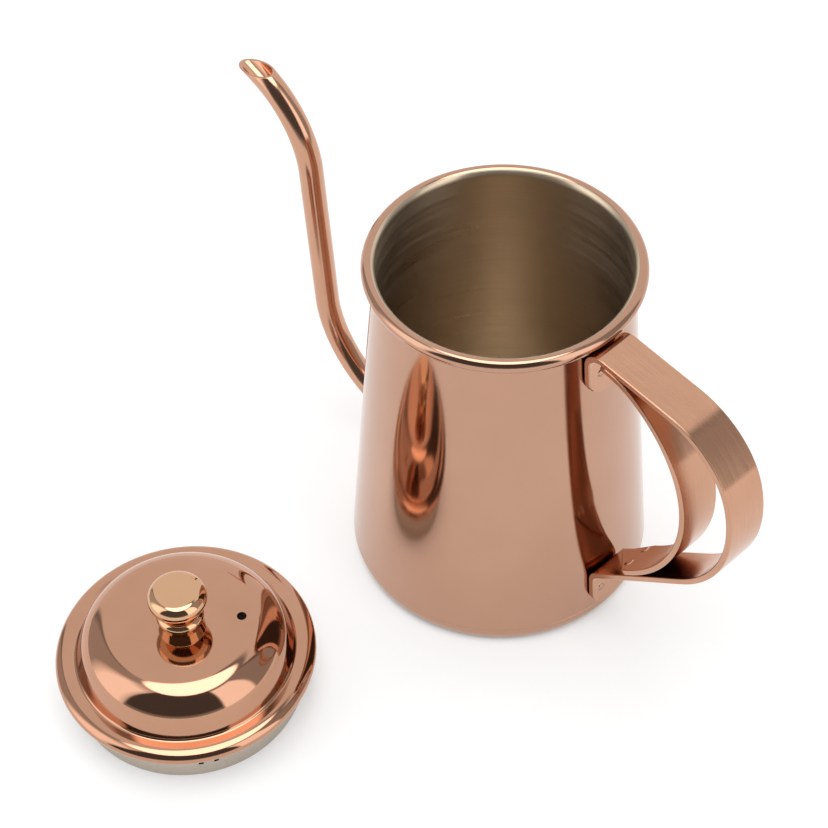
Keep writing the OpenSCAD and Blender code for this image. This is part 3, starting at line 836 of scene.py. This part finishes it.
# -------------------------------------------------------- lid cover
lid_low, lid_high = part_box("lid_cover")
lid_x, lid_y = ((lid_low + lid_high) * (0.5 / MM)).to_tuple()[:2]
lid_at = (lid_x, lid_y, 0)
skirt_r = bead_centre_r - BEAD_R - LID_FIT
brim_r = RIM_R - BRIM_INSET
brim_roll_z = SKIRT_DROP + BRIM_ROLL_R
crown_z = brim_roll_z + BRIM_ROLL_R + CROWN_RISE
crown_start = (FOOT_R + SEAT_LAP, crown_z - SHEET / 2, 90)
dome_side_r = DOME_R - SHEET / 2

# the brim from the dome's crease outwards, all along the middle of the sheet
brim_arcs = [(r - SHEET / 2, turn) for r, turn in BRIM_ARCS]
to_crest = (brim_arcs[0][0], BRIM_RISE)
to_outermost = [to_crest, brim_arcs[0], (brim_arcs[1][0], 90 - brim_arcs[0][1])]
outermost = run_end(to_outermost, (0, 0, 90 - BRIM_RISE))
crease = (DOME_CREASE_R + SHEET / 2, -DOME_END - BRIM_RISE)
crease_end = run_end([crease], (dome_side_r, 0, 90 + DOME_END))
brim_flat = (0, (brim_r - SHEET / 2 - outermost[0] - crease_end[0]) / cosd(BRIM_RISE))
crest = run_end([brim_flat, to_crest], crease_end)
foot_z = BRIM_CREST_Z - SHEET / 2 - crest[1]


def crown_run(turn):
    """From the knob's seat to the crease, with the crown's arc turning so far."""
    arcs = [(CROWN_R - SHEET / 2, turn), (SHOULDER_R - SHEET / 2, DOME_END - turn)]
    down = run_end(arcs, crown_start)
    return [*arcs, (0, (down[1] - foot_z) / sind(DOME_END))]


crown_turn = root_of(lambda turn: run_end(crown_run(turn), crown_start)[0] - dome_side_r, 0.0, 9.0)
hole_r = SCREW_R + SCREW_GAP
cover_run = [
    (0, crown_start[0] - hole_r),
    *crown_run(crown_turn),
    crease,
    brim_flat,
    to_crest,
    *brim_arcs,
]
cover_strips = sheet_strips(cover_run, (hole_r, *crown_start[1:]), SHEET, turn=3.0)
cover = lathe("lid_dome", cover_strips, [copper_lid], lid_at, segs=240)
vent_x = VENT_POS_R * cosd(VENT_ANGLE) + lid_x
vent_y = VENT_POS_R * sind(VENT_ANGLE) + lid_y
vent = cutter("round", (VENT_R, CUT_L), Matrix.Translation((vent_x, vent_y, crown_z)))
cut_holes(cover, [vent], cover_strips, lid_at)
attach(cover, "lid")
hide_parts("lid_cover")

# -------------------------------------------------------- lid skirt
skirt_top_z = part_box("lid_skirt")[1].z / MM
skirt_run = [
    (0, skirt_top_z - SKIRT_T - SKIRT_T / 2),
    (SKIRT_T, -90),
    (0, SKIRT_FLANGE - SKIRT_T - SKIRT_T / 2),
]
skirt_strips = sheet_strips(skirt_run, (skirt_r - SKIRT_T / 2, 0, 0), SKIRT_T)
skirt = lathe("lid_skirt_band", skirt_strips, [steel_skirt], lid_at)
slots = []
for angle in SLOT_ANGLES:
    turned = Matrix.Translation(lid_at) @ rotation(angle, "Z")
    slot_at = turned @ Matrix.Translation((skirt_r, 0, SLOT_Z))
    slots.append(cutter("box", (SLOT_DEPTH, SLOT_W, SLOT_H), slot_at))
cut_holes(skirt, slots, skirt_strips, lid_at)
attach(skirt, "lid")
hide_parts("lid_skirt")

# -------------------------------------------------------- knob
ball_span = BALL_R - BALL_EDGE_R
ball_top_r = arc_radius(ball_span, BALL_TOP, BALL_EDGE_R)
ball_low_r = arc_radius(ball_span, BALL_DROP, BALL_EDGE_R)
ball_top_a = math.degrees(math.atan((ball_top_r - BALL_TOP) / ball_span))
ball_low_a = math.degrees(math.atan((ball_low_r - BALL_DROP) / ball_span))
ball_run = [
    (ball_top_r, 90 - ball_top_a),
    (BALL_EDGE_R, ball_top_a + ball_low_a),
    (ball_low_r, 90 - ball_low_a - math.degrees(math.asin(NECK_R / ball_low_r))),
]
collar_run = [(0, COLLAR_R - COLLAR_EDGE_R - NECK_R), (COLLAR_EDGE_R, 90)]
hole_l = SCREW_GRIP + 1  # goes on past the screw's tip


def line_strip(a, b):
    d = math.dist(a, b)
    n = (-(b[1] - a[1]) / d, (b[0] - a[0]) / d)
    return ([a, b], [n, n], 0)


ball = face_strip(run_states(ball_run, (0, BALL_Z + BALL_TOP, 90), turn=3)[0], 1, 0, 0)
collar = face_strip(run_states(collar_run, (NECK_R, COLLAR_H, 90))[0], 1, 0, 0)
foot = [collar[0][-1], (FOOT_R, 0), (SCREW_R, 0), (SCREW_R, hole_l), (0, hole_l)]
knob_strips = [ball, line_strip(ball[0][-1], collar[0][0]), collar]
knob_strips += [line_strip(a, b) for a, b in zip(foot, foot[1:])]
knob = lathe("lid_knob_turned", knob_strips, [gold], (lid_x, lid_y, crown_z), segs=160)
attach(knob, "lid")
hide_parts("lid_knob")

for name in ("knob_screw", "knob_washer"):
    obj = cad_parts[name]
    obj.data.materials.clear()
    obj.data.materials.append(steel_screw)

# -------------------------------------------------------- floor
FLOOR_HALF = 3  # metres
floor_mesh = bpy.data.meshes.new("floor")
floor_signs = ((-1, -1), (1, -1), (1, 1), (-1, 1))
floor_corners = [(x * FLOOR_HALF, y * FLOOR_HALF, 0) for x, y in floor_signs]
floor_mesh.from_pydata(floor_corners, [], [(0, 1, 2, 3)])
floor = add_object("floor", floor_mesh)
pale = Nodes("floor_paper")
pale.put(pale.bsdf, "Base_Color", (0.5, 0.5, 0.5, 1))
pale.put(pale.bsdf, "Roughness", 0.9)
pale.put(pale.bsdf, "Emission_Color", (1, 1, 1, 1))
# The paper carries a painted glow that lifts it to white. The glow is taken away where ambient
# occlusion finds something standing close over it, which paints the shadow under the kettle and the
# lid.
painted_shadow_ao = pale.node("ShaderNodeAmbientOcclusion", Distance=0.06, p_samples=8).outputs["AO"]
pale.put(pale.bsdf, "Emission_Strength", pale.remap(painted_shadow_ao, 0.12, 0.4, 0, 0.54))
floor_mesh.materials.append(pale.mat)

# -------------------------------------------------------- camera and studio
CAM_AT = (0.3053, -0.3138, 0.5603)
CAM_ELEVATION, CAM_AZIMUTH, CAM_ROLL = 49.027, 47.8, -1.337
CAM_SENSOR_W, CAM_LENS, CAM_NEAR, CAM_FAR = 36, 92.198, 0.01, 20

# Panels of the studio round the object: (turn from, turn to, height from, height to, soft edge,
# brightness), in degrees. A turn is 0 on the camera's side and positive to its right, and a height
# is above the horizon. Each panel covers those before it.
PANELS = (
    (-134, -54, -90, 90, 2, 0.55),    # left wall
    (-97, -57, -90, 64, 7, 1.8),      # left softbox
    (36, 109, -90, 90, 2, 0.45),      # right wall
    (36, 69.5, -90, 64, 1.5, 1.8),    # right softbox
    (-136, -131, 5, 62, 2, 0.3),      # gap between the far wall and the left one
    (105, 112, 40, 72, 2, 0.2),       # gap between the far wall and the right one
    (104, 181, 64, 72, 2, 0.3),       # gap over the far wall
    (-56, 36, -90, 90, 1.5, 0.1),     # dark side of the room, behind the camera
    (-56, 36, -90, 6, 3, 0.4),        # its lit foot
    (-181, 181, 69.5, 91, 1.2, 3.5),  # overhead softbox
)


def make_camera():
    cam = bpy.data.cameras.new("camera")
    cam.sensor_width, cam.lens = CAM_SENSOR_W, CAM_LENS
    cam.clip_start, cam.clip_end = CAM_NEAR, CAM_FAR
    cam.dof.use_dof = False
    obj = add_object("camera", cam)
    turn = rotation(CAM_AZIMUTH, "Z")
    tilt = rotation(90 - CAM_ELEVATION, "X")
    obj.matrix_world = Matrix.Translation(CAM_AT) @ turn @ tilt @ rotation(CAM_ROLL, "Z")
    bpy.context.scene.camera = obj


def make_world():
    """A white surround with the panels in front of it; the camera itself sees plain white."""
    world = bpy.data.worlds.new("studio")
    bpy.context.scene.world = world
    world.use_nodes = True
    m = Nodes(tree=world.node_tree)
    toward = m.node("ShaderNodeTexCoord").outputs["Generated"]
    parts = []
    to_camera = (sind(CAM_AZIMUTH), -cosd(CAM_AZIMUTH), 0)
    to_right = (cosd(CAM_AZIMUTH), sind(CAM_AZIMUTH), 0)
    for axis in (to_camera, to_right):
        dot = m.node("ShaderNodeVectorMath", p_operation="DOT_PRODUCT", i0=toward, i1=axis)
        parts.append(dot.outputs["Value"])
    near, right = parts
    up = m.node("ShaderNodeSeparateXYZ", Vector=toward).outputs["Z"]
    turn = m.math("DEGREES", m.math("ARCTAN2", right, near))
    height = m.math("DEGREES", m.math("ARCSINE", up))
    glow = 1.0
    for turn_from, turn_to, low, high, soft, level in PANELS:
        mask = 1.0
        for x, start, end in ((turn, turn_from, turn_to), (height, low, high)):
            for limit, ease in ((start, soft), (end, -soft)):
                mask = m.math("MULTIPLY", mask, m.remap(x, limit - ease, limit + ease, 0, 1))
        glow = m.node("ShaderNodeMix", i0=mask, i2=glow, i3=level).outputs[0]
    seen = m.node("ShaderNodeLightPath").outputs["Is Camera Ray"]
    light = world.node_tree.nodes["Background"]
    m.put(light, "Color", (1, 1, 1, 1))
    m.put(light, "Strength", m.node("ShaderNodeMix", i0=seen, i2=glow, i3=1.0).outputs[0])


make_camera()
make_world()
bpy.context.scene.view_settings.view_transform = "Standard"
